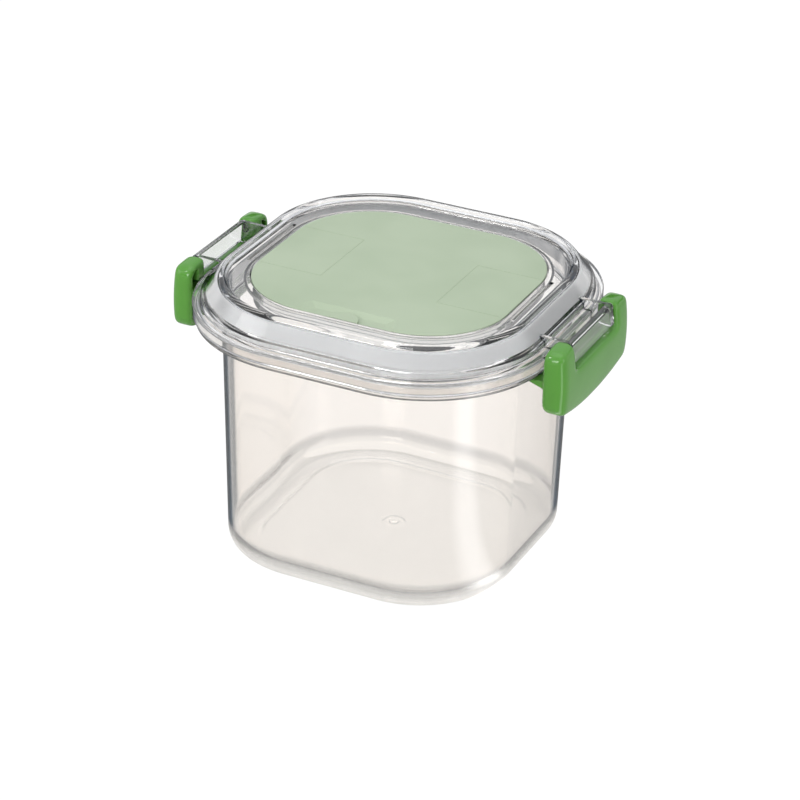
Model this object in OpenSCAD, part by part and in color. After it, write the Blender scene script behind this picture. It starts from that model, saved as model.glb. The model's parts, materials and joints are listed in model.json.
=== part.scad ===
// Square-round food container with a sealed snap lid: a clear tub, a clear lid with a silicone
// gasket, a pale lift-out cover over the lid's shallow tray, and two side latches.
// Origin: centre of the base on the surface it stands on. +X towards the right latch.

/* [Container] */
// Width of the base across its flat sides
base_w = 104; // [96:1:120]
// Outer radius of the base's vertical corners
corner_r = 34.5; // [30:0.5:38]
// Height of the underside of the rim flange
rim_z = 85.4; // [60:0.2:120]
// Wall and floor thickness
wall = 1.9; // [1.6:0.1:2.2]
// How much wider each side is at the rim than at the base
draft = 1.9; // [1:0.1:2.4]
// Radius of the outer bottom edge
bottom_r = 5; // [2:0.5:5]
// Distance the rim flange reaches out from the base's side
flange_out = 11.1; // [10.6:0.1:11.4]

/* [Lid] */
// Distance the lid's edge reaches out from the base's side
lid_out = 12; // [11.8:0.1:12.4]
// Thickness of the lid's walls
lid_t = 1.8; // [1.6:0.1:1.9]
// Depth of the tray below its ledge
tray_depth = 6; // [5:0.5:6.5]

/* [Cover] */
// Width of the cover, from latch to latch
cover_x = 91.7; // [86:0.1:92]
// Depth of the cover, front to back
cover_y = 85.4; // [80:0.1:86]
// Thickness of the cover
cover_t = 1.65; // [1.4:0.05:1.7]
// Width of the finger scoop at the front edge
scoop_w = 37; // [28:1:44]

/* [Latches] */
// Length of each latch along the lid's side
latch_w = 57; // [54:0.5:60]
// Width of the opening between the two arms
window_w = 35; // [34:0.5:36]
// Radius of the hinge stubs on the lid
stub_r = 1.6; // [1.4:0.05:1.7]

/* [Hidden] */
$fn = 64;

// Half width of the base and the place of its corner centres
half = base_w / 2;
corner = half - corner_r;
// Clearance between faces of pieces that move against each other, and of the hinge stubs
gap = 0.3;
stub_gap = 0.05;
// A little extra so that a cut runs past a face
past = 1;

// Foot ring, floor and gate mark
foot_in = 12;
foot_step = 0.4;
floor_z = foot_step + wall;
floor_r = 6.5;
gate_r = 4.4;
gate_dot_r = 1.6;
gate_depth = 0.4;

// Rim heights above its underside: flange, lip
flange_t = 1.8;
lip_h = 5.8;
lip_in = 2.9;
lip_out = 4.8;

// Lid heights above the rim's underside
skirt_h = flange_t + gap;
shelf_h = 6.8;
plate_h = 13.7;
crest_h = 15.5;

// Place of the cover's corner centres, and the finger scoop's length, depth and thumb rest
cover_corner = 16.8;
scoop_l = 8;
scoop_h = 1.1;
thumb_r = 5.2;

// Tray opening and tray, half sizes
open_x = cover_x / 2 + gap + 0.05;
open_y = cover_y / 2 + gap + 0.05;
open_r = open_x - cover_corner;
ledge = 2.8;
ledge_z = rim_z + plate_h - cover_t - gap;
tray_z = ledge_z - tray_depth;

// Snap clips and ribs below the cover
clip_w = 33;
clip_t = 1.2;
clip_h = 3.8;
rib_t = 1;
rib_h = 1.5;
rib_x = 21.5;

// Latch section: the outer face is one large arc, with round corners at the arm's top
face_x = half + 21.6;
face_r = 80;
face_z = rim_z - 3;
arm_in = half + 13.3;
arm_top = rim_z + 11.3;
top_out_r = 3;
top_in_r = 1.5;

// Latch as seen from the side: curved lower edge, low corners, arm ends and the window's corners
latch_low = rim_z - 15.3;
low_r = 105;
low_corner_r = 5.5;
low_corner_z = latch_low + 8;
end_r = 4;
end_drop = 0.7;
window_z = rim_z + 1.5;
window_r = 1.5;

// Latch inside: skin thickness, solid band that carries the catch, and hinge boss in each arm
skin = 2.2;
band_low = rim_z - 4.2;
band_top = rim_z + 1.9;
boss_l = 5.6;
boss_r = 3.4;

// Catch and hinge
catch_z = rim_z - gap;
catch_in = half + 8.3;
catch_w = 54;
catch_t = 1.1;
catch_slope = 2;
hinge_x = half + 16.8;
hinge_z = rim_z + 7.8;
stub_len = 4.8;

// Bracket between the latch arms
bracket_w = window_w - 2 * gap;
bracket_low = rim_z + 2.6;
bracket_top = rim_z + 10.6;
bracket_set = 1.3;
bracket_r = 1.5;
bar_t = 2.2;
bar_bevel = 0.8;

function arc(x, z, r, a0, a1, n) =
    [for (i = [0:n]) let (a = a0 + (a1 - a0) * i / n) [x + r * cos(a), z + r * sin(a)]];

// A point of a rim or lid section: distance out from the base's side, height above the rim
function rim(out, up) = [half + out, rim_z + up];

// The latch's outer face, or a face set in from it by a distance
function face(z, set) = face_x - face_r + sqrt(pow(face_r - set, 2) - pow(z - face_z, 2));
function face_line(z0, z1, set, n) =
    [for (i = [0:n]) let (z = z0 + (z1 - z0) * i / n) [face(z, set), z]];

// A round corner between a face set in from the outer one and a flat top
function face_corner(top, set, r) =
    let (z = top - r) arc(face(z, set + r), z, r, asin((z - face_z) / (face_r - set - r)), 90, 5);

// Carries a section round the square with round corners
module round_square_ring(section) {
    for (turn = [0:90:270]) rotate([0, 0, turn]) {
        translate([corner, corner, 0])
            rotate_extrude(angle = 90) polygon([for (p = section) [p[0] - corner, p[1]]]);
        translate([0, corner, 0]) rotate([90, 0, 0]) linear_extrude(2 * corner) polygon(section);
    }
}

module round_rect(x, y, r) {
    square([2 * x, 2 * (y - r)], center = true);
    square([2 * (x - r), 2 * y], center = true);
    for (i = [-1, 1], j = [-1, 1]) translate([i * (x - r), j * (y - r)]) circle(r);
}

module slab(x, y, r, z, h) {
    translate([0, 0, z]) linear_extrude(h) round_rect(x, y, r);
}

// Extrudes an X-Z section along Y, from y0 to y1
module along_y(section, y0, y1) {
    translate([0, y1, 0]) rotate([90, 0, 0]) linear_extrude(y1 - y0) polygon(section);
}

// The tub: wall, rounded bottom edge, foot ring, and a stepped rim with a sealing lip
module container() {
    ring_in = half - foot_in - 0.5;
    inner_low = half - wall + 0.1;
    inner_top = half + draft - wall;
    section = concat(
        [[ring_in, 0]],
        arc(half - bottom_r, bottom_r, bottom_r, -90, 0, 6),
        [rim(draft, 0), rim(flange_out, 0), rim(flange_out, flange_t),
         rim(lip_out, flange_t), rim(lip_out, lip_h), rim(lip_in, lip_h), rim(lip_in, flange_t),
         [inner_top, rim_z + flange_t]],
        arc(inner_low - floor_r, floor_z + floor_r, floor_r, 0, -90, 6),
        [[ring_in, floor_z]]
    );
    color("#e9eef0", 0.35) difference() {
        union() {
            round_square_ring(section);
            slab(half - foot_in, half - foot_in, corner_r - foot_in, foot_step, wall);
        }
        translate([0, 0, foot_step - past]) difference() {
            cylinder(r = gate_r, h = gate_depth + past);
            cylinder(r = gate_dot_r, h = gate_depth + past);
        }
    }
}

// Lid section: skirt, shelf, convex ridge over the gasket channel, and the channel's inner wall
module lid_ring() {
    inner = -0.5;
    round_square_ring(concat(
        [rim(inner, 3.4), rim(inner + lid_t, 3.4), rim(inner + lid_t, 12.7), rim(2.6, 13.4),
         rim(3.4, 12.8), rim(6.5, 8.9), rim(6.5, shelf_h - lid_t),
         rim(lid_out - lid_t, shelf_h - lid_t), rim(lid_out - lid_t, skirt_h),
         rim(lid_out, skirt_h), rim(lid_out, shelf_h), rim(9.1, shelf_h), rim(9.1, 8.6),
         rim(8.3, 9.2)],
        arc(half + 1.8, rim_z + crest_h - 3, 3, 39, 100, 6),
        [rim(0.7, plate_h + 1.1), rim(0.3, plate_h), rim(-1, plate_h), rim(-1, plate_h - lid_t),
         rim(inner, plate_h - lid_t)]
    ));
}

// Plate inside the ridge, the stepped tray that it holds, and the two snap grooves
module lid_tray() {
    outer = half - 0.7;
    plate_z = rim_z + plate_h - lid_t;
    difference() {
        union() {
            slab(outer, outer, outer - corner, plate_z, lid_t);
            slab(open_x + lid_t, open_y + lid_t, open_r + lid_t,
                ledge_z - lid_t, plate_z - ledge_z + 2 * lid_t);
            slab(open_x - ledge + lid_t, open_y - ledge + lid_t, open_r - ledge + lid_t,
                tray_z - lid_t, ledge_z - tray_z);
        }
        slab(open_x, open_y, open_r, ledge_z, plate_h);
        slab(open_x - ledge, open_y - ledge, open_r - ledge, tray_z, plate_h);
        for (side = [-1, 1]) translate([side * (open_x + lid_t + 1), 0, rim_z + plate_h])
            cube([1.4, clip_w, 2], center = true);
    }
}

// Two cheeks and the outer bar that the latch turns on, drawn on the +X side
module bracket() {
    edge = concat(
        [[face(bracket_low, bracket_set + bar_bevel), bracket_low]],
        face_line(bracket_low + bar_bevel, bracket_top - bracket_r, bracket_set, 4),
        face_corner(bracket_top, bracket_set, bracket_r)
    );
    cheek = concat([rim(7.5, 5.9), rim(11, 5.9), [half + 11, bracket_low]], edge,
        [[half + 6, bracket_top]]);
    bar = concat([[face(bracket_low, bracket_set + bar_t), bracket_low]], edge,
        [[face(bracket_top, bracket_set + bar_t), bracket_top]]);
    hw = bracket_w / 2;
    along_y(bar, -hw, hw);
    for (side = [-1, 1]) {
        along_y(cheek, side > 0 ? hw - lid_t : -hw, side > 0 ? hw : lid_t - hw);
        translate([hinge_x, side * (hw - lid_t), hinge_z])
            rotate([-side * 90, 0, 0]) cylinder(r = stub_r, h = lid_t + stub_len);
    }
}

module lid() {
    color("#eef2f4", 0.35) {
        lid_ring();
        lid_tray();
        bracket();
        mirror([1, 0, 0]) bracket();
    }
}

// Soft ring that fills the channel under the ridge and lands on the container's lip
module gasket() {
    color("#dcdcd8", 0.8) round_square_ring([
        rim(1.45, lip_h + gap), rim(6.35, lip_h + gap), rim(6.35, 8.8), rim(3.3, 12.6),
        rim(2.6, 13.1), rim(1.45, 12.5)
    ]);
}

// Space above the finger scoop: a wedge that deepens to the cover's front edge, narrower at the
// back, which leaves a half-round thumb rest standing in its middle
module scoop(front, top) {
    back = front + scoop_l;
    difference() {
        intersection() {
            rotate([90, 0, 90]) translate([0, 0, -scoop_w / 2]) linear_extrude(scoop_w)
                polygon([[front - past, top - scoop_h], [front, top - scoop_h], [back, top],
                    [back, top + past], [front - past, top + past]]);
            translate([0, 0, top - past - scoop_h]) linear_extrude(2 * past + scoop_h)
                polygon([[-scoop_w / 2, front - past], [scoop_w / 2, front - past],
                    [scoop_w / 2 - 4, back + past], [4 - scoop_w / 2, back + past]]);
        }
        translate([0, front, top - 2 * scoop_h]) cylinder(r = thumb_r, h = 4 * scoop_h);
    }
}

// Lift-out cover: a flat panel with a finger scoop, clips at its two ends and ribs below
module cover() {
    x = cover_x / 2;
    y = cover_y / 2;
    top = rim_z + plate_h + 0.05;
    low = top - cover_t;
    clip_x = open_x - ledge - gap - clip_t;
    color("#b4c7ad") {
        difference() {
            slab(x, y, x - cover_corner, low, cover_t);
            scoop(-y, top);
        }
        for (side = [-1, 1]) {
            translate([side * (clip_x + clip_t / 2), 0, low - clip_h / 2 + 0.1])
                cube([clip_t, clip_w, clip_h], center = true);
            translate([side * rib_x, 0, low - rib_h / 2 + 0.1])
                cube([rib_t, clip_w, rib_h], center = true);
            for (end = [-1, 1])
                translate([side * (rib_x + clip_x) / 2, end * (clip_w - rib_t) / 2, low - rib_h / 2 + 0.1])
                    cube([clip_x - rib_x + rib_t, rib_t, rib_h], center = true);
        }
    }
}

// The latch's curved lower edge as seen from the side, or a line set in from it by a distance
function low_edge(w, set) =
    [for (i = [0:8]) let (y = w * (i / 4 - 1)) [y, latch_low + low_r - sqrt(pow(low_r - set, 2) - y * y)]];

// The same points on the other side of the middle, in the order that carries the outline on
function across(points) = [for (i = [len(points) - 1:-1:0]) [-points[i][0], points[i][1]]];

// Extrudes an outline that is drawn as seen from the side, in Y and Z, through the latch
module seen_from_side(outline) {
    translate([arm_in - past, 0, 0]) rotate([90, 0, 90]) linear_extrude(20) polygon(outline);
}

// Hollow behind the lower plate, and in each arm round its hinge boss, with a skin of even thickness
module latch_hollows(hl, hw) {
    w = hl - skin;
    low = latch_low - past;
    depth = concat([[arm_in - past, arm_top], [arm_in - past, low]], face_line(low, arm_top, skin, 8));
    intersection() {
        along_y(depth, -w, w);
        seen_from_side(concat(low_edge(w - skin, skin), [[w, low_corner_z], [w, band_low], [-w, band_low],
            [-w, low_corner_z]]));
    }
    arm = [[w, band_top], [w, arm_top - end_r], [w - end_r / 2, arm_top - skin - end_drop],
        [hw + boss_l, arm_top - skin], [hw + boss_l, hinge_z - boss_r], [hw + skin, hinge_z - boss_r],
        [hw + skin, band_top]];
    for (outline = [arm, across(arm)]) intersection() {
        along_y(depth, -w, w);
        seen_from_side(outline);
    }
}

// One latch, drawn on the +X side: two arms, a lower plate, and the catch under the rim
module latch() {
    hl = latch_w / 2;
    hw = window_w / 2;
    section = concat(
        [[arm_in, latch_low]],
        face_line(latch_low, arm_top - top_out_r, 0, 8),
        face_corner(arm_top, 0, top_out_r),
        arc(arm_in + top_in_r, arm_top - top_in_r, top_in_r, 90, 180, 4)
    );
    end = concat(
        arc(hl - low_corner_r, low_corner_z, low_corner_r, -75, 0, 5),
        arc(hl - end_r, arm_top - end_drop - end_r, end_r, 0, 84, 5),
        [[hw, arm_top]],
        arc(hw - window_r, window_z + window_r, window_r, 0, -90, 3)
    );
    color("#5aa53f") difference() {
        union() {
            intersection() {
                along_y(section, -hl, hl);
                seen_from_side(concat(low_edge(hl - 5, 0), end, across(end)));
            }
            along_y([[arm_in + 1, catch_z], [catch_in, catch_z], [catch_in, catch_z - catch_t],
                [arm_in + 1, catch_z - catch_t - catch_slope]], -catch_w / 2, catch_w / 2);
        }
        latch_hollows(hl, hw);
        for (side = [-1, 1])
            translate([hinge_x, side * (hw - past), hinge_z]) rotate([-side * 90, 0, 0])
                cylinder(r = stub_r + stub_gap, h = past + stub_len + gap);
    }
}

module right_latch() {
    latch();
}

module left_latch() {
    mirror([1, 0, 0]) latch();
}

container();
lid();
gasket();
cover();
left_latch();
right_latch();
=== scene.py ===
import bmesh
import bpy
import math
from mathutils import Matrix, Vector
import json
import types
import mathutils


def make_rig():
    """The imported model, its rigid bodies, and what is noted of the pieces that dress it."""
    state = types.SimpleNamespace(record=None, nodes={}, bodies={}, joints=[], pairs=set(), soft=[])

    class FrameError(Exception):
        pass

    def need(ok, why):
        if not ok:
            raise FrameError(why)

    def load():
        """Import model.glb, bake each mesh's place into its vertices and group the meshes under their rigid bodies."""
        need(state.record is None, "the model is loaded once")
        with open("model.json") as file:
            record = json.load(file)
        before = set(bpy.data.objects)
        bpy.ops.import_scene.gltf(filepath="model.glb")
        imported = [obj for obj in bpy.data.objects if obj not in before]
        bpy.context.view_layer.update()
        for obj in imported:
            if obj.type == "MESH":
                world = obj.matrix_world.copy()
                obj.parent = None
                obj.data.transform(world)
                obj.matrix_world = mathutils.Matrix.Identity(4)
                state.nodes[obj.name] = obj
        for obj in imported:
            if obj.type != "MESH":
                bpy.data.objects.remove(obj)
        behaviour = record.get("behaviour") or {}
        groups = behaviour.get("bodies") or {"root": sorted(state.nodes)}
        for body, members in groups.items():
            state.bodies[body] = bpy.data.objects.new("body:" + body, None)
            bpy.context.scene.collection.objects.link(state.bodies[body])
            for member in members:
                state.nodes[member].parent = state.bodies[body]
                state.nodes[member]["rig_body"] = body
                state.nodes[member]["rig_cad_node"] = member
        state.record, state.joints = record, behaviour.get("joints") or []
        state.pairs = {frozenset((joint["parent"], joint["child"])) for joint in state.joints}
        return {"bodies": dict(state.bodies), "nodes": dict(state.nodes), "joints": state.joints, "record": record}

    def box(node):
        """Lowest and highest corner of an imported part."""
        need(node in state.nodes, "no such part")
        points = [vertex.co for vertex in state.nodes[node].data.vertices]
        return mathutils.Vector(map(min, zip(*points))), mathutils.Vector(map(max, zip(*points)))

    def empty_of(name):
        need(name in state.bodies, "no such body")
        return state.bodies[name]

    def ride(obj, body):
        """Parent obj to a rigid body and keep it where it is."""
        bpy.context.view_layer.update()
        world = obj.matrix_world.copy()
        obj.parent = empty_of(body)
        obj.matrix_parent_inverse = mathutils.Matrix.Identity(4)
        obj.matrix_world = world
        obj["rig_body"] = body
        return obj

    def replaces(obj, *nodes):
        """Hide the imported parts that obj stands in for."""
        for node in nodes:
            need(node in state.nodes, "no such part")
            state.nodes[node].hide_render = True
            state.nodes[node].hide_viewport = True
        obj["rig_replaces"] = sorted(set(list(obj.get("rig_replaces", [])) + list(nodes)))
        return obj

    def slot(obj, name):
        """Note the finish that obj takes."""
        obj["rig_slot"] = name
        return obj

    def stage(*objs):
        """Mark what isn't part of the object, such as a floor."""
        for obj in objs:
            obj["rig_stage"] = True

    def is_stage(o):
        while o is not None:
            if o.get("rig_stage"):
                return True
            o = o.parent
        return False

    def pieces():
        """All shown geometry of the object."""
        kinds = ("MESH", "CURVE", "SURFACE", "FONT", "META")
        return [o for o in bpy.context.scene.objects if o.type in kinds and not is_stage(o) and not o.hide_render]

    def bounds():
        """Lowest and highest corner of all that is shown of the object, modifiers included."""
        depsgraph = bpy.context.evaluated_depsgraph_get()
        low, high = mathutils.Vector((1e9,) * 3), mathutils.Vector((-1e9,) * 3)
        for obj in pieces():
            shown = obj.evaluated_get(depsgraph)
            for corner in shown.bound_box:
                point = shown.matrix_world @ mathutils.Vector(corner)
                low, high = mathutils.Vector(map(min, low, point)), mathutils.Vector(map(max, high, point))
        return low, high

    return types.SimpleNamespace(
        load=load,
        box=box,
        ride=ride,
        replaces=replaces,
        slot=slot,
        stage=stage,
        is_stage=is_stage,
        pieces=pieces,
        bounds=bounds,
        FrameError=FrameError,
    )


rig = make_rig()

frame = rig.load()
cad_low, cad_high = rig.bounds()

# ---------------------------------------------------------------------------------------------
# Container: the clear tub that holds the food. One injection moulding in styrene-acrylonitrile,
# with a foot ring and gate mark underneath, drafted walls and a rim flange with a sealing lip.

mm = 0.001
container_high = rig.box("container")[1] / mm
lip_h, lip_in, lip_out = 5.8, 2.9, 4.8
flange_out, flange_t = 11.1, 1.8
rim_z = container_high.z - lip_h
half = container_high.x - flange_out
corner_r = 34.5
corner = half - corner_r
wall = 1.9
draft = 1.9


def rim(out, up):
    """A point of a section: distance out from the base's side, height above the rim's underside."""
    return half + out, rim_z + up


def filleted(points):
    """Section points as (across, up) or (across, up, fillet radius), with each fillet drawn as an arc."""
    line = []
    for i, (x, z, *fillet) in enumerate(points):
        here = Vector((x, z))
        if not fillet or i in (0, len(points) - 1):
            line.append(here)
            continue
        back = Vector(points[i - 1][:2]) - here
        on = Vector(points[i + 1][:2]) - here
        turn = math.pi - back.angle(on)
        reach = min(fillet[0] * math.tan(turn / 2), back.length * 0.49, on.length * 0.49)
        radius = reach / math.tan(turn / 2)
        start, end = here + back.normalized() * reach, here + on.normalized() * reach
        centre = here + (back.normalized() + on.normalized()).normalized() * radius / math.cos(turn / 2)
        steps = max(2, round(math.degrees(turn) / 15))
        a0 = math.atan2(*(start - centre).yx)
        sweep = (math.atan2(*(end - centre).yx) - a0 + math.pi) % math.tau - math.pi
        line += [centre + radius * Vector((math.cos(a), math.sin(a)))
                 for a in (a0 + sweep * k / steps for k in range(steps + 1))]
    return line


def put(tree, kind, inputs=(), **settings):
    """Adds a node with its settings, its input values and its links, and returns its first output."""
    node = tree.nodes.new(kind)
    for name, value in settings.items():
        setattr(node, name, value)
    for name, value in dict(inputs).items():
        if isinstance(value, bpy.types.NodeSocket):
            tree.links.new(value, node.inputs[name])
        else:
            node.inputs[name].default_value = value
    return node.outputs[0] if node.outputs else node


def round_the_square():
    """Geometry Nodes tree that carries a section round a rectangle with round corners. The section is
    a line of points: X is the radius at the corners, Z the height, and `corner` the corner centre."""
    tree = bpy.data.node_groups.new("Round the square", "GeometryNodeTree")
    face = tree.interface
    face.new_socket("Section", in_out="INPUT", socket_type="NodeSocketGeometry")
    face.new_socket("Corner steps", in_out="INPUT", socket_type="NodeSocketInt")
    face.new_socket("Side steps", in_out="INPUT", socket_type="NodeSocketInt")
    face.new_socket("Weld distance", in_out="INPUT", socket_type="NodeSocketFloat")
    face.new_socket("Material", in_out="INPUT", socket_type="NodeSocketMaterial")
    face.new_socket("Solid", in_out="OUTPUT", socket_type="NodeSocketGeometry")
    given = put(tree, "NodeGroupInput").node.outputs

    maths = "ShaderNodeMath"
    rows = put(tree, "GeometryNodeAttributeDomainSize", {"Geometry": given["Section"]})
    quarter = put(tree, maths, {0: given["Corner steps"], 1: given["Side steps"]}, operation="ADD")
    around = put(tree, maths, {0: quarter, 1: 4.0, 2: 1.0}, operation="MULTIPLY_ADD")
    grid = put(tree, "GeometryNodeMeshGrid", {"Vertices X": rows, "Vertices Y": around})
    middle = put(tree, maths, {0: put(tree, "GeometryNodeInputIndex"), 1: 0.5}, operation="ADD")
    row_share = put(tree, maths, {0: middle, 1: around}, operation="DIVIDE")
    row = put(tree, maths, {0: row_share}, operation="FLOOR")
    column = put(tree, maths, {0: middle, 1: around}, operation="FLOORED_MODULO")
    turn_share = put(tree, maths, {0: column, 1: quarter}, operation="DIVIDE")
    turn = put(tree, maths, {0: turn_share}, operation="FLOOR")
    step_middle = put(tree, maths, {0: column, 1: quarter}, operation="FLOORED_MODULO")
    step = put(tree, maths, {0: step_middle, 1: 0.5}, operation="SUBTRACT")
    step_share = put(tree, maths, {0: step, 1: given["Corner steps"]}, operation="DIVIDE")
    share = put(tree, maths, {0: step_share, 1: 1.0}, operation="MINIMUM")
    turned = put(tree, maths, {0: turn, 1: share}, operation="ADD")
    angle = put(tree, maths, {0: turned, 1: math.pi / 2}, operation="MULTIPLY")
    beyond = put(tree, maths, {0: step, 1: given["Corner steps"]}, operation="SUBTRACT")
    past = put(tree, maths, {0: beyond, 1: 0.0}, operation="MAXIMUM")
    slide = put(tree, maths, {0: past, 1: given["Side steps"]}, operation="DIVIDE")
    section_point = put(tree, "GeometryNodeSampleIndex", {
        "Geometry": given["Section"], "Value": put(tree, "GeometryNodeInputPosition"), "Index": row},
        data_type="FLOAT_VECTOR")
    centre = put(tree, "GeometryNodeSampleIndex", {
        "Geometry": given["Section"], "Index": row,
        "Value": put(tree, "GeometryNodeInputNamedAttribute", {"Name": "corner"}, data_type="FLOAT_VECTOR")},
        data_type="FLOAT_VECTOR")
    radius_height = put(tree, "ShaderNodeSeparateXYZ", {0: section_point}).node.outputs
    centre_at = put(tree, "ShaderNodeSeparateXYZ", {0: centre}).node.outputs
    place = []
    for axis, lead in ((0, "COSINE"), (1, "SINE")):
        sides = []
        for later in (0.5, 1.5):
            ahead = put(tree, maths, {0: turn, 1: later}, operation="ADD")
            quadrant = put(tree, maths, {0: ahead, 1: math.pi / 2}, operation="MULTIPLY")
            swung = put(tree, maths, {0: quadrant}, operation=lead)
            sides.append(put(tree, maths, {0: swung}, operation="SIGN"))
        change = put(tree, maths, {0: sides[1], 1: sides[0]}, operation="SUBTRACT")
        side = put(tree, maths, {0: slide, 1: change, 2: sides[0]}, operation="MULTIPLY_ADD")
        swing = put(tree, maths, {0: angle}, operation=lead)
        reach = put(tree, maths, {0: radius_height["X"], 1: swing}, operation="MULTIPLY")
        place.append(put(tree, maths, {0: side, 1: centre_at[axis], 2: reach}, operation="MULTIPLY_ADD"))
    position = put(tree, "ShaderNodeCombineXYZ", {0: place[0], 1: place[1], 2: radius_height["Z"]})
    solid = put(tree, "GeometryNodeSetPosition", {"Geometry": grid, "Position": position})
    solid = put(tree, "GeometryNodeMergeByDistance", {"Geometry": solid, "Distance": given["Weld distance"]})
    solid = put(tree, "GeometryNodeRealizeInstances", {"Geometry": solid})
    solid = put(tree, "GeometryNodeSetMaterial", {"Geometry": solid, "Material": given["Material"]})
    put(tree, "NodeGroupOutput", {"Solid": solid})
    return tree


square_tree = round_the_square()


def object_of(name, mesh):
    piece = bpy.data.objects.new(name, mesh)
    bpy.context.scene.collection.objects.link(piece)
    return piece


def applied(piece):
    """Turns a piece and its modifiers into one plain mesh."""
    bpy.context.view_layer.update()
    seen = piece.evaluated_get(bpy.context.evaluated_depsgraph_get())
    piece.data = bpy.data.meshes.new_from_object(seen)
    piece.modifiers.clear()
    return piece


def closed(piece):
    """Welds doubles, drops what they leave, points the faces outwards and shades them smooth."""
    shape = bmesh.new()
    shape.from_mesh(piece.data)
    bmesh.ops.remove_doubles(shape, verts=shape.verts, dist=0.001 * mm)
    bmesh.ops.dissolve_degenerate(shape, edges=shape.edges, dist=0.0005 * mm)
    bmesh.ops.recalc_face_normals(shape, faces=shape.faces)
    for face in shape.faces:
        face.smooth = True
    shape.to_mesh(piece.data)
    shape.free()
    return piece


def carried_round(name, groups, material):
    """A solid whose section, in groups of ((corner centre x, y), filleted points), runs round a
    rectangle with round corners. Points give the half width, so a group centred at 0 is round."""
    line = bpy.data.meshes.new(name)
    centres, points = [], []
    for (x, y), section in groups:
        for across, up in filleted(section):
            centres.append((x * mm, y * mm, 0))
            points.append(((across - x) * mm, 0, up * mm))
    line.from_pydata(points, [(i, i + 1) for i in range(len(points) - 1)], [])
    line.attributes.new("corner", "FLOAT_VECTOR", "POINT")
    for spot, centre in zip(line.attributes["corner"].data, centres):
        spot.vector = centre
    piece = object_of(name, line)
    run = piece.modifiers.new("Round the square", "NODES")
    run.node_group = square_tree
    values = {"Corner steps": 32, "Side steps": 8, "Weld distance": 0.001 * mm, "Material": material}
    for socket in square_tree.interface.items_tree:
        if socket.name in values:
            run[socket.identifier] = values[socket.name]
    return closed(applied(piece))


def srgb(code):
    """An sRGB hex colour as linear red, green, blue and alpha."""
    parts = [int(code[i:i + 2], 16) / 255 for i in (1, 3, 5)]
    return [p / 12.92 if p <= 0.04045 else ((p + 0.055) / 1.055) ** 2.4 for p in parts] + [1]


def clear_san(name, tint, stops, edge):
    """Injection-moulded clear SAN, polished tool. The eye gets sharp reflections and faint flow ripples
    a few millimetres long in what shows through. Its dark blue edges where it looks along a wall are
    painted shade. The stops are colours by how far a surface turns from the eye, darkening to
    blue-grey, and past edge, where the painted dark edge starts, a dark blue see-through share is
    mixed in. Close to the surface that the piece stands on it is painted pale, up to 4 mm above its
    base and fading out by 10 mm, as painted light for the light that comes straight up through it."""
    material = bpy.data.materials.new(name)
    material.use_nodes = True
    tree = material.node_tree
    tree.nodes.clear()
    place = put(tree, "ShaderNodeTexCoord").node.outputs["Object"]
    height = put(tree, "ShaderNodeSeparateXYZ", {0: place}).node.outputs["Z"]
    foot_top, clear_of_foot = 4 * mm, 10 * mm
    # Painted light: up to 4 mm above the base, fading out by 10 mm, the colour is held pale for floor light coming up
    # through the foot
    above = put(tree, "ShaderNodeMapRange", {
        "Value": height, "From Min": foot_top, "From Max": clear_of_foot})
    # Painted shade: the base colour runs through the stops to dark blue-grey as the surface turns from the eye
    facing = put(tree, "ShaderNodeLayerWeight", {"Blend": 0.5}).node.outputs["Facing"]
    turned = put(tree, "ShaderNodeMapRange", {"Value": above, "To Min": 0.3, "To Max": facing})
    along = put(tree, "ShaderNodeValToRGB", {"Fac": turned})
    ramp = along.node.color_ramp
    for spot, (position, colour) in zip((ramp.elements[0], ramp.elements[1]), (stops[0], stops[-1])):
        spot.position, spot.color = position, srgb(colour)
    for position, colour in stops[1:-1]:
        ramp.elements.new(position).color = srgb(colour)
    flow = put(tree, "ShaderNodeTexNoise", {"Vector": place, "Scale": 1 / (18 * mm), "Detail": 2.0})
    ripple = put(tree, "ShaderNodeBump", {"Height": flow, "Strength": 0.05, "Distance": 0.2 * mm})
    gloss = put(tree, "ShaderNodeBsdfPrincipled", {
        "Base Color": along, "Roughness": 0.015, "IOR": 1.57, "Transmission Weight": 1.0, "Normal": ripple})
    # Painted shade: past edge, up to 62 % of a dark blue see-through shader is mixed in at grazing angles
    edges = put(tree, "ShaderNodeMapRange", {
        "Value": facing, "From Min": edge, "From Max": edge + 0.1, "To Max": 0.62})
    share = put(tree, "ShaderNodeMapRange", {"Value": above, "To Min": 0.6, "To Max": edges})
    # The see-through colour: near white at the foot as painted light, dark blue above it as painted shade at the
    # edges; at the foot 60 % of the shader is this near-white see-through
    through = put(tree, "ShaderNodeValToRGB", {"Fac": above})
    through.node.color_ramp.elements[0].color = srgb("#fefdfb")
    through.node.color_ramp.elements[1].color = srgb("#1e3044")
    straight = put(tree, "ShaderNodeBsdfTransparent", {"Color": through})
    shader = put(tree, "ShaderNodeMixShader", {0: share, 1: gloss, 2: straight})
    depth = put(tree, "ShaderNodeVolumeAbsorption", {"Color": srgb(tint), "Density": 6.0})
    put(tree, "ShaderNodeOutputMaterial", {"Surface": shader, "Volume": depth})
    return material


def flattened(piece, angle):
    """Keeps flats flat beside small fillets: edges sharper than an angle stay crisp, and big faces
    set the shading."""
    piece.data.set_sharp_from_angle(angle=math.radians(angle))
    flats = piece.modifiers.new("Flat flats", "WEIGHTED_NORMAL")
    flats.keep_sharp = True


# Painted shade: the stops darken the warm white a little, then to dark blue-grey as the wall turns from the eye; the
# painted dark edge starts at 0.7
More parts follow.
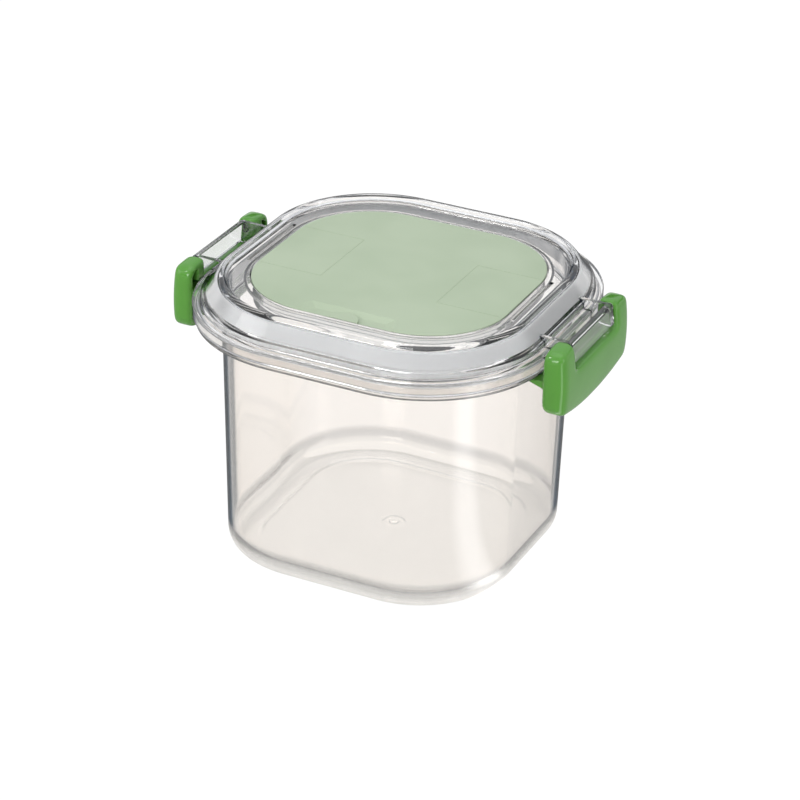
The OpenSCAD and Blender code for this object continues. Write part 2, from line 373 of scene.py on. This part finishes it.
tub_clear = clear_san("clear moulded SAN", "#e8e2d8", (
    (0.30, "#fcf9f6"), (0.62, "#f2ede7"), (0.67, "#e6e1dc"), (0.76, "#2c3a46")), 0.7)
foot = half - 12
foot_step = 0.4
floor_z = foot_step + wall
floor_r, bottom_r = 6.5, 5
gate_r, gate_dot_r, gate_top = 4.4, 1.4, foot_step + 0.4
centre_patch = 6
square_corner = (corner, corner)
container = carried_round("container_shell", [
    ((0, 0), [
        (0, foot_step), (gate_dot_r, foot_step, 0.3), (gate_dot_r + 0.6, gate_top, 0.4),
        (gate_r - 1, gate_top, 0.4), (gate_r, foot_step, 0.3), (centre_patch, foot_step)]),
    (square_corner, [
        (foot - 3, foot_step), (foot - 0.6, foot_step, 0.8), (foot + 0.8, 0, 0.8), (half, 0, bottom_r),
        (*rim(draft, 0), 0.7), (*rim(flange_out, 0), 0.4), (*rim(flange_out, flange_t), 0.4),
        (*rim(lip_out, flange_t), 0.4), (*rim(lip_out, lip_h), 0.7), (*rim(lip_in, lip_h), 0.7),
        (*rim(lip_in, flange_t), 0.4), (*rim(0, flange_t), 0.5),
        (half - wall + 0.1, floor_z, floor_r), (foot - 3, floor_z)]),
    ((0, 0), [(centre_patch, floor_z), (0, floor_z)]),
], tub_clear)
flattened(container, 50)
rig.replaces(container, "container")
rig.ride(container, "container")
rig.slot(container, "clear_san")

# ---------------------------------------------------------------------------------------------
# Gasket: the soft ring in the lid's channel that seals on the container's lip. Compression-moulded
# translucent silicone, pressed into the channel by hand.


def silicone():
    """Compression-moulded milky silicone. Soft, slightly hazy white that lets light a little way in."""
    material = bpy.data.materials.new("milky moulded silicone")
    material.use_nodes = True
    tree = material.node_tree
    tree.nodes.clear()
    place = put(tree, "ShaderNodeTexCoord").node.outputs["Object"]
    cloud = put(tree, "ShaderNodeTexNoise", {"Vector": place, "Scale": 1 / (9 * mm), "Detail": 3.0})
    milk = put(tree, "ShaderNodeValToRGB", {"Fac": cloud})
    milk.node.color_ramp.elements[0].color = srgb("#fafaf8")
    milk.node.color_ramp.elements[1].color = srgb("#fefefd")
    shader = put(tree, "ShaderNodeBsdfPrincipled", {
        "Base Color": milk, "Roughness": 0.45, "IOR": 1.41, "Subsurface Weight": 0.3,
        "Subsurface Scale": 2 * mm, "Subsurface Radius": (1, 1, 1)})
    put(tree, "ShaderNodeOutputMaterial", {"Surface": shader})
    return material


gasket_in, gasket_out, gasket_low = 1.45, 6.35, lip_h + 0.3
gasket_start = rim(4, gasket_low)
gasket = carried_round("gasket_ring", [(square_corner, [
    gasket_start, (*rim(gasket_out, gasket_low), 0.4), (*rim(gasket_out, 8.8), 0.4),
    (*rim(3.3, 12.6), 0.4), (*rim(2.6, 13.1), 0.3), (*rim(gasket_in, 12.5), 0.3),
    (*rim(gasket_in, gasket_low), 0.4), gasket_start])],
    silicone())
flattened(gasket, 50)
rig.replaces(gasket, "gasket")
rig.ride(gasket, "lid")
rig.slot(gasket, "silicone")

# ---------------------------------------------------------------------------------------------
# Lid: clear SAN moulding with a skirt over the rim, a convex ridge over the gasket's channel, the
# shallow tray under the cover, and on each side a bracket whose stubs the latch turns on.

lid_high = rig.box("lid")[1] / mm
# Painted shade: the lid's stops run to dark blue-grey at grazing angles, and its painted dark edge starts at 0.76
lid_clear = clear_san("clear moulded SAN, thick", "#f2f4f4", ((0.68, "#fcfcfc"), (0.82, "#2c3846")), 0.76)
lid_t = 1.8
lid_out = lid_high.y - half
cover_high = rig.box("cover")[1] / mm
tray_corner = (16.8, 16.8 - cover_high.x + cover_high.y)
opening = cover_high.x + 0.35
ledge = 2.8
plate_h = 13.7
plate_top = rim_z + plate_h
ledge_z = plate_top - 1.95
tray_z = ledge_z - 6
tray_r = 2
plug_low, plug_in = 3.4, -0.5
channel_in, channel_out, channel_low = 1.3, 6.5, 5
skirt_low, shelf_h = 2.1, 6.8
bead_out, bead_h = 9.1, 8.6
crest_r, crest_steps = 3, 8
crest = Vector((half + 1.8, lid_high.z - crest_r))
crest_arc = [tuple(crest + crest_r * Vector((math.cos(a), math.sin(a))))
             for a in (math.radians(39 + 61 * k / crest_steps) for k in range(crest_steps + 1))]
lid = carried_round("lid_shell", [
    ((0, 0), [(0, tray_z - lid_t), (centre_patch, tray_z - lid_t)]),
    (tray_corner, [
        (opening - ledge, tray_z - lid_t), (opening - ledge + lid_t, tray_z - lid_t, tray_r),
        (opening - ledge + lid_t, ledge_z - lid_t, 0.4), (opening + lid_t, ledge_z - lid_t, 0.8),
        (opening + lid_t, plate_top - lid_t, 0.4), (opening + lid_t + 1, plate_top - lid_t)]),
    (square_corner, [
        rim(-2, plate_h - lid_t), (*rim(plug_in, plate_h - lid_t), 0.5), (*rim(plug_in, plug_low), 0.4),
        (*rim(channel_in, plug_low), 0.6), (*rim(channel_in, 12.7), 0.6), (*rim(2.6, 13.4), 0.5),
        (*rim(3.4, 12.8), 0.5), (*rim(channel_out, 8.9), 0.5), (*rim(channel_out, channel_low), 0.4),
        (*rim(lid_out - lid_t, channel_low), 0.5), (*rim(lid_out - lid_t, skirt_low), 0.4),
        (*rim(lid_out, skirt_low), 0.4), (*rim(lid_out, shelf_h), 0.5), (*rim(bead_out, shelf_h), 0.4),
        (*rim(bead_out, bead_h), 0.3), (*rim(bead_out - 0.8, bead_h + 0.6), 0.4),
        *crest_arc, (*rim(0.3, plate_h), 0.5), rim(-1, plate_h)]),
    (tray_corner, [
        (opening + 1, plate_top), (opening, plate_top, 0.3), (opening, ledge_z, 0.2),
        (opening - ledge, ledge_z, 0.4), (opening - ledge, tray_z, tray_r),
        (opening - ledge - 4, tray_z)]),
    ((0, 0), [(centre_patch, tray_z), (0, tray_z)]),
], lid_clear)


def prism(name, outline, axis, low, high):
    """A closed solid from an outline in millimetres: drawn in X and Z and run along Y, or drawn in Y
    and Z and run along X, or drawn in X and Y and run along Z."""
    def at(p, h):
        return {"X": (h, p[0], p[1]), "Y": (p[0], h, p[1]), "Z": (p[0], p[1], h)}[axis]
    n = len(outline)
    mesh = bpy.data.meshes.new(name)
    mesh.from_pydata([Vector(at(p, h)) * mm for h in (low, high) for p in outline], [],
                     [list(range(n)), list(range(n, 2 * n))]
                     + [(i, (i + 1) % n, n + (i + 1) % n, n + i) for i in range(n)])
    return closed(object_of(name, mesh))


def softened(piece):
    """Rounds the sharp edges to 0.3 mm, as a moulding tool's edges are."""
    edge = piece.modifiers.new("Moulded edge", "BEVEL")
    edge.width = 0.3 * mm
    edge.segments = 3
    edge.limit_method = "ANGLE"
    edge.angle_limit = math.radians(35)
    return applied(piece)


def combined(piece, other, operation):
    """Joins another solid to a piece, cuts it away or keeps what they share, and removes it."""
    step = piece.modifiers.new(operation, "BOOLEAN")
    step.operation = operation
    step.solver = "MANIFOLD"
    step.object = other
    applied(piece)
    bpy.data.objects.remove(other)
    return piece


def arc(x, z, r, a0, a1, steps):
    """Points on an arc about (x, z), from angle a0 to a1 in degrees."""
    return [(x + r * math.cos(math.radians(a0 + (a1 - a0) * k / steps)),
             z + r * math.sin(math.radians(a0 + (a1 - a0) * k / steps))) for k in range(steps + 1)]


latch_low, latch_high = (corner_point / mm for corner_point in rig.box("right_latch"))
face_r = 80
face_z = rim_z - 3
face_x = latch_high.x


def face_at(z, set_in=0):
    """X of the right latch's outer face at a height, or of a face set in from it."""
    return face_x - face_r + math.sqrt((face_r - set_in) ** 2 - (z - face_z) ** 2)


hinge = next(j for j in frame["joints"] if j["name"] == "right_latch_hinge")
hinge_x, hinge_z = hinge["pos_m"][0] / mm, hinge["pos_m"][2] / mm
stub_r, stub_l = 1.6, 4.8
window_half = 17.5
bracket_half = window_half - 0.3
bracket_z = rim_z + 2.6
bracket_top = rim_z + 10.6
bar_t, bar_set, bar_bevel, bar_r = 2.2, 1.3, 0.8, 1.5


def face_corner(top, set_in, r):
    """A round corner between a face set in from the latch's outer one and a flat top."""
    z = top - r
    lean = math.degrees(math.asin((z - face_z) / (face_r - set_in - r)))
    return arc(face_at(z, set_in + r), z, r, lean, 90, 8)


bar_edge = [(face_at(bracket_z, bar_set + bar_bevel), bracket_z)]
bar_edge += [(face_at(z, bar_set), z) for z in (bracket_z + bar_bevel + k for k in range(6))]
bar_edge += face_corner(bracket_top, bar_set, bar_r)
groove_half, groove_in, groove_out, groove_h = 16.5, 0.3, 1.7, 1
for side in (1, -1):
    parts = [prism("bar", [(face_at(bracket_z, bar_set + bar_t), bracket_z), *bar_edge,
                           (face_at(bracket_top, bar_set + bar_t), bracket_top)], "Y",
                   -bracket_half, bracket_half)]
    for end in (-1, 1):
        inner, outer = sorted((end * (bracket_half - lid_t), end * bracket_half))
        parts.append(prism("cheek", [rim(7.5, 5.9), rim(11, 5.9), (half + 11, bracket_z), *bar_edge,
                                     (half + 6, bracket_top)], "Y", inner, outer))
        inner, outer = sorted((end * (bracket_half - 0.5), end * (bracket_half + stub_l)))
        parts.append(prism("stub", arc(hinge_x, hinge_z, stub_r, 0, 345, 23), "Y", inner, outer))
    bracket = softened(parts[0])
    for part in parts[1:]:
        combined(bracket, softened(part), "UNION")
    bracket.data.transform(Matrix.Diagonal((side, 1, 1, 1)))
    combined(lid, closed(bracket), "UNION")
    groove = prism("groove", [(side * (opening + lid_t + x), y) for x, y in (
        (groove_in, -groove_half), (groove_out, -groove_half), (groove_out, groove_half),
        (groove_in, groove_half))], "Z", plate_top - groove_h, plate_top + groove_h)
    combined(lid, groove, "DIFFERENCE")
closed(lid)
lid.data.materials.clear()
lid.data.materials.append(lid_clear)
flattened(lid, 50)
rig.replaces(lid, "lid")
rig.ride(lid, "lid")
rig.slot(lid, "clear_san")

# ---------------------------------------------------------------------------------------------
# Cover: the flat panel that closes the lid's tray. Injection-moulded sage polypropylene with a
# fine matte texture, lifted out at a finger scoop; clips under its two ends snap in the tray.


def matte_polypropylene():
    """Moulded polypropylene from a fine spark-eroded tool. Even and soft, with a satin sheen at low
    angles, faint cloudy flow marks and a grain that is drawn 0.5 mm coarse so that it shows."""
    material = bpy.data.materials.new("matte sage polypropylene")
    material.use_nodes = True
    tree = material.node_tree
    tree.nodes.clear()
    place = put(tree, "ShaderNodeTexCoord").node.outputs["Object"]
    cloud = put(tree, "ShaderNodeTexNoise", {"Vector": place, "Scale": 1 / (30 * mm), "Detail": 2.0})
    sage = put(tree, "ShaderNodeValToRGB", {"Fac": cloud})
    sage.node.color_ramp.elements[0].position = 0.35
    sage.node.color_ramp.elements[0].color = srgb("#a1b095")
    sage.node.color_ramp.elements[1].position = 0.65
    sage.node.color_ramp.elements[1].color = srgb("#a9b79d")
    grain = put(tree, "ShaderNodeTexNoise", {"Vector": place, "Scale": 1 / (0.5 * mm), "Detail": 1.0})
    rough = put(tree, "ShaderNodeMapRange", {"Value": grain, "To Min": 0.42, "To Max": 0.52})
    bump = put(tree, "ShaderNodeBump", {"Height": grain, "Strength": 0.08, "Distance": 0.02 * mm})
    shader = put(tree, "ShaderNodeBsdfPrincipled", {
        "Base Color": sage, "Roughness": rough, "IOR": 1.49, "Normal": bump})
    put(tree, "ShaderNodeOutputMaterial", {"Surface": shader})
    return material


cover_t = 1.65
cover_top = cover_high.z
cover_bottom = cover_top - cover_t
cover_patch = 8
sage_plastic = matte_polypropylene()
cover = carried_round("cover_panel", [
    ((0, 0), [(0, cover_bottom), (cover_patch, cover_bottom)]),
    (tray_corner, [
        (cover_high.x - 4, cover_bottom), (cover_high.x, cover_bottom, 0.3),
        (cover_high.x, cover_top, 0.35), (cover_high.x - 4, cover_top)]),
    ((0, 0), [(cover_patch, cover_top), (0, cover_top)]),
], sage_plastic)
scoop_half, scoop_l, scoop_h, thumb_r, slope = 18.5, 8, 1.1, 5.2, 2.6
front = -cover_high.y
scoop_mesh = bpy.data.meshes.new("scoop")
hull = bmesh.new()
for set_in, z in ((slope, cover_top - scoop_h), (-slope, cover_top + scoop_h)):
    for x, y in ((scoop_half - set_in, front - 1), (scoop_half - 3 - set_in, front + scoop_l - set_in)):
        for side in (-1, 1):
            hull.verts.new(Vector((side * x, y, z)) * mm)
bmesh.ops.convex_hull(hull, input=hull.verts)
hull.to_mesh(scoop_mesh)
hull.free()
scoop = closed(object_of("scoop", scoop_mesh))
combined(scoop, prism("thumb", arc(0, front, thumb_r, 0, 352, 44), "Z", cover_top - 3, cover_top + 3),
         "DIFFERENCE")
combined(cover, scoop, "DIFFERENCE")
clip_half, clip_t, clip_h, clip_gap = 16.5, 1.2, 3.7, 0.3
rib_t, rib_x, rib_h = 1, 21.5, 1.4
clip_x = opening - ledge - clip_gap - clip_t
sunk = 0.1
line_w, line_h, line_end = 0.25, 0.07, cover_high.x - 1
for side in (-1, 1):
    for x0, x1, y0, y1, low in (
            (clip_x, clip_x + clip_t, -clip_half, clip_half, cover_bottom - clip_h),
            (rib_x - rib_t / 2, rib_x + rib_t / 2, -clip_half, clip_half, cover_bottom - rib_h),
            (rib_x, clip_x + sunk, clip_half - rib_t, clip_half, cover_bottom - rib_h),
            (rib_x, clip_x + sunk, -clip_half, rib_t - clip_half, cover_bottom - rib_h)):
        rib = prism("rib", [(side * x0, y0), (side * x1, y0), (side * x1, y1), (side * x0, y1)], "Z",
                    low, cover_bottom + sunk)
        combined(cover, rib, "UNION")
    # Witness lines over the ribs, where the thicker plastic sinks a few hundredths of a millimetre
    for x0, x1, y0, y1 in ((rib_x, line_end, clip_half - line_w, clip_half),
                           (rib_x, line_end, -clip_half, line_w - clip_half),
                           (rib_x, rib_x + line_w, -clip_half, clip_half)):
        line = prism("witness", [(side * x0, y0), (side * x1, y0), (side * x1, y1), (side * x0, y1)], "Z",
                     cover_top - line_h, cover_top + 1)
        combined(cover, line, "DIFFERENCE")
closed(cover)
cover.data.materials.clear()
cover.data.materials.append(sage_plastic)
# The scoop's facets and the witness lines are too shallow to show when the shading runs over them
for face in cover.data.polygons:
    face.use_smooth = False
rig.replaces(cover, "cover")
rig.ride(cover, "cover")
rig.slot(cover, "cover_plastic")

# ---------------------------------------------------------------------------------------------
# Latches: two U-shaped snap latches that turn on the lid's stubs and hook under the container's
# flange. Injection-moulded glossy green plastic, hollow behind, snapped onto the stubs.


def gloss_green():
    """Moulded green polypropylene from a polished tool. A saturated leaf green with a clear gloss,
    slight depth of colour, and a faint orange peel a few millimetres across that bends reflections."""
    material = bpy.data.materials.new("glossy green moulded plastic")
    material.use_nodes = True
    tree = material.node_tree
    tree.nodes.clear()
    place = put(tree, "ShaderNodeTexCoord").node.outputs["Object"]
    cloud = put(tree, "ShaderNodeTexNoise", {"Vector": place, "Scale": 1 / (14 * mm), "Detail": 2.0})
    leaf = put(tree, "ShaderNodeValToRGB", {"Fac": cloud})
    leaf.node.color_ramp.elements[0].color = srgb("#4b862e")
    leaf.node.color_ramp.elements[1].color = srgb("#559236")
    peel = put(tree, "ShaderNodeTexNoise", {"Vector": place, "Scale": 1 / (4 * mm), "Detail": 2.0})
    bump = put(tree, "ShaderNodeBump", {"Height": peel, "Strength": 0.15, "Distance": 0.1 * mm})
    shader = put(tree, "ShaderNodeBsdfPrincipled", {
        "Base Color": leaf, "Roughness": 0.1, "IOR": 1.5, "Normal": bump, "Subsurface Weight": 0.1,
        "Subsurface Scale": 1 * mm, "Subsurface Radius": (0.4, 1, 0.25)})
    put(tree, "ShaderNodeOutputMaterial", {"Surface": shader})
    return material


green = gloss_green()
latch_half = latch_high.y
arm_in = half + 13.3
arm_top = rim_z + 11.3
low_z = latch_low.z
low_r, low_corner_r, low_corner_h = 105, 5.5, 8
top_out_r, top_in_r = 3, 1.5
end_r, end_drop = 4, 0.7
sill_z, window_r = rim_z + 1.5, 1.5
band_low, band_top = rim_z - 4.2, rim_z + 1.9
boss_l, boss_r = 5.6, 3.4
catch_top, catch_t, catch_slope, catch_half = rim_z - 0.3, 1.1, 2, 27
crown_r = 3.4
skin = 2.2
voxel = 0.34
bore_gap = 0.05


def low_edge(w, set_in):
    """The latch's curved lower edge in Y and Z, or a line set in from it."""
    return [(y, low_z + low_r - math.sqrt((low_r - set_in) ** 2 - y * y))
            for y in (w * (2 * k / 16 - 1) for k in range(17))]


def across(points):
    """The same points on the other side of the middle, in the order that carries the outline on."""
    return [(-y, z) for y, z in reversed(points)]


def crowned_block():
    """The latch's outer skin as a slice of a ring about its face's axis, with round ends."""
    mesh = bpy.data.meshes.new("block")
    depth, low_turn, sweep, steps = 14, -12, 28, 40
    inside = face_r - depth
    outside = arc(latch_half - crown_r, face_r - crown_r, crown_r, 90, 0, 6)
    ring = [(-latch_half, inside), *across(outside), *outside, (latch_half, inside)]
    axis_x = face_x - face_r
    turns = [math.radians(low_turn + sweep * k / steps) for k in range(steps + 1)]
    points = [Vector((axis_x + r * math.cos(a), y, face_z + r * math.sin(a))) * mm
              for a in turns for y, r in ring]
    n = len(ring)
    faces = [(k * n + i, k * n + (i + 1) % n, (k + 1) * n + (i + 1) % n, (k + 1) * n + i)
             for k in range(len(turns) - 1) for i in range(n)]
    faces += [list(range(n)), list(range(len(points) - n, len(points)))]
    mesh.from_pydata(points, [], faces)
    return closed(object_of("latch", mesh))


def latch_block():
    """The right latch before it is hollowed: the crowned block cut to its section and U shape."""
    block = crowned_block()
    past = 2
    section = [(arm_in, low_z - past / 2), (face_x + past, low_z - past / 2),
               (face_x + past, arm_top - top_out_r), *face_corner(arm_top, 0, top_out_r),
               *arc(arm_in + top_in_r, arm_top - top_in_r, top_in_r, 90, 180, 5)]
    combined(block, prism("section", section, "Y", -latch_half - 1, latch_half + 1), "INTERSECT")
    end = [*arc(latch_half - low_corner_r, low_z + low_corner_h, low_corner_r, -75, 0, 8),
           *arc(latch_half - end_r, arm_top - end_drop - end_r, end_r, 0, 84, 8), (window_half, arm_top),
           *arc(window_half - window_r, sill_z + window_r, window_r, 0, -90, 4)]
    outline = [*low_edge(latch_half - 5, 0), *end, *across(end)]
    return combined(block, prism("outline", outline, "X", arm_in - past, face_x + past), "INTERSECT")


def hollows():
    """What the tool's core leaves open towards the container: behind the plate and in each arm."""
    w, low = latch_half - skin, low_z - 1
    corner_z, boss, boss_low = low_z + low_corner_h, window_half + boss_l, hinge_z - boss_r
    plate = [*low_edge(w - skin, skin), (w, corner_z), (w, band_low), (-w, band_low), (-w, corner_z)]
    arm = [(w, band_top), (w, arm_top - end_r), (w - 2, arm_top - skin - end_drop), (boss, arm_top - skin),
           (boss, boss_low), (window_half + skin, boss_low), (window_half + skin, band_top)]
    heights = [low + (arm_top - low) * k / 10 for k in range(11)]
    depth = [(arm_in - 1, arm_top), (arm_in - 1, low), *((face_at(z, skin), z) for z in heights)]
    for outline in (plate, arm, across(arm)):
        hollow = prism("hollow", depth, "Y", -w, w)
        yield combined(hollow, prism("plan", outline, "X", arm_in - 2, face_x), "INTERSECT")


def moulded(piece, passes):
    """Rebuilds a piece as an even skin and eases every edge, as polished tool steel leaves it."""
    rebuilt = piece.modifiers.new("Even skin", "REMESH")
    rebuilt.mode = "VOXEL"
    rebuilt.voxel_size = voxel * mm
    rebuilt.use_smooth_shade = True
    ease = piece.modifiers.new("Eased edges", "SMOOTH")
    ease.factor = 0.5
    ease.iterations = passes
    return applied(piece)


for side, body in ((1, "right_latch"), (-1, "left_latch")):
    latch = moulded(latch_block(), 120)
    for hollow in hollows():
        combined(latch, hollow, "DIFFERENCE")
    catch = prism("catch", [
        (arm_in + 1, catch_top), (latch_low.x, catch_top), (latch_low.x, catch_top - catch_t),
        (arm_in + 1, catch_top - catch_t - catch_slope)], "Y", -catch_half, catch_half)
    moulded(combined(latch, catch, "UNION"), 5)
    for end in (-1, 1):
        inner, outer = sorted((end * (window_half - 1), end * (window_half + stub_l)))
        bore = prism("bore", arc(hinge_x, hinge_z, stub_r + bore_gap, 0, 345, 23), "Y", inner, outer)
        combined(latch, bore, "DIFFERENCE")
    latch.data.transform(Matrix.Diagonal((side, 1, 1, 1)))
    latch.name = body + "_moulding"
    closed(latch)
    latch.data.materials.clear()
    latch.data.materials.append(green)
    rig.replaces(latch, body)
    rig.ride(latch, body)
    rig.slot(latch, "latch_plastic")

# ---------------------------------------------------------------------------------------------
# Studio: a white acrylic sheet under the container, a white tent round it, five softboxes, and the
# camera above and to the right of the container's front.


def sweep_floor():
    """White acrylic sheet, lit through from below so that it stays white close to the object. Gloss
    mirrors it at half strength, as it would a sheet with dark cards round its edges, but for one
    bright strip to the right of the front that draws a light line on upright corners."""
    material = bpy.data.materials.new("white acrylic sheet")
    material.use_nodes = True
    tree = material.node_tree
    tree.nodes.clear()
    place = put(tree, "ShaderNodeTexCoord").node.outputs["Object"]
    bearing = put(tree, "ShaderNodeTexGradient", {"Vector": place}, gradient_type="RADIAL")
    strip = put(tree, "ShaderNodeValToRGB", {"Fac": bearing.node.outputs["Fac"]})
    for spot, position in zip(strip.node.color_ramp.elements, (0.395, 0.465)):
        spot.position, spot.color = position, srgb("#7a7a7a")
    for position in (0.42, 0.44):
        strip.node.color_ramp.elements.new(position).color = (1, 1, 1, 1)
    path = put(tree, "ShaderNodeLightPath").node.outputs
    mirrored = put(tree, "ShaderNodeMath", {0: path["Is Glossy Ray"], 1: path["Is Reflection Ray"]},
                   operation="MULTIPLY")
    card = put(tree, "ShaderNodeMath", {0: strip, 1: 2.8}, operation="MULTIPLY")
    strength = put(tree, "ShaderNodeMapRange", {"Value": mirrored, "To Min": 1.0, "To Max": card})
    paint = put(tree, "ShaderNodeBsdfDiffuse", {"Color": srgb("#3c3c3c")})
    glow = put(tree, "ShaderNodeEmission", {"Color": (1, 1, 1, 1), "Strength": strength})
    both = put(tree, "ShaderNodeAddShader", {0: paint, 1: glow})
    put(tree, "ShaderNodeOutputMaterial", {"Surface": both})
    return material


floor_mesh = bpy.data.meshes.new("floor")
reach = 3.0
floor_mesh.from_pydata([(-reach, -reach, 0), (reach, -reach, 0), (reach, reach, 0), (-reach, reach, 0)], [],
                       [(0, 1, 2, 3)])
floor_mesh.materials.append(sweep_floor())
floor = object_of("floor", floor_mesh)
floor.location.z = -0.2 * mm
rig.stage(floor)

tent = bpy.data.worlds.new("white tent")
bpy.context.scene.world = tent
tent.use_nodes = True
sky = tent.node_tree
sky.nodes.clear()
up = put(sky, "ShaderNodeSeparateXYZ", {0: put(sky, "ShaderNodeTexCoord").node.outputs["Generated"]})
shade = put(sky, "ShaderNodeValToRGB", {"Fac": up.node.outputs["Z"]})
# Up from the horizon: white card, a narrow black flag that draws dark lines in gloss, white cloth
tent_ramp = shade.node.color_ramp
tent_ramp.elements[0].position, tent_ramp.elements[0].color = 0.18, srgb("#ffffff")
tent_ramp.elements[1].position, tent_ramp.elements[1].color = 0.38, srgb("#f4f6fa")
for height, colour in ((0.22, "#202428"), (0.30, "#202428")):
    tent_ramp.elements.new(height).color = srgb(colour)
cloth = put(sky, "ShaderNodeBackground", {"Color": shade, "Strength": 0.97})
put(sky, "ShaderNodeOutputWorld", {"Surface": cloth})


def softbox(name, at, width, height, watts):
    """A rectangular softbox that faces the container. Places are in millimetres."""
    container_middle = Vector((0, 0, 60))
    light = bpy.data.lights.new(name, "AREA")
    light.shape = "RECTANGLE"
    light.size, light.size_y = width * mm, height * mm
    light.energy = watts
    lamp = object_of(name, light)
    lamp.location = Vector(at) * mm
    lamp.rotation_euler = (Vector(at) - container_middle).to_track_quat("Z", "Y").to_euler()


softbox("overhead", (0, 100, 900), 700, 700, 1.2)
softbox("left", (-700, -500, 450), 400, 500, 0.8)
softbox("front", (0, -900, 500), 500, 300, 3.0)
softbox("spark", (-380, -465, 860), 120, 120, 0.7)
softbox("right", (900, 0, 250), 300, 600, 1)

azimuth, elevation, roll = math.radians(25.41909), math.radians(27.69151), math.radians(-1.43209)
distance, sideways, upward = 1045.135, 1.14698, 3.41390
aim = Vector((0, 0, 45.8))
back = Vector((math.sin(azimuth) * math.cos(elevation), -math.cos(azimuth) * math.cos(elevation),
               math.sin(elevation)))
right = Vector((math.cos(azimuth), math.sin(azimuth), 0))
top = back.cross(right)
lens = bpy.data.cameras.new("camera")
lens.lens = 135.63
lens.clip_start, lens.clip_end = 0.05, 20
camera = object_of("camera", lens)
tilted = (math.cos(roll) * right - math.sin(roll) * top, math.sin(roll) * right + math.cos(roll) * top, back)
camera.matrix_world = Matrix.Translation((aim + back * distance + right * sideways + top * upward) * mm) @ (
    Matrix(tilted).transposed().to_4x4())
bpy.context.scene.camera = camera
bpy.context.scene.view_settings.view_transform = "Standard"

low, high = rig.bounds()
with open("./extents.json", "w") as size_file:
    size_file.write(str({"cad": [list(cad_low), list(cad_high)], "visual": [list(low), list(high)]})
                    .replace("'", '"'))
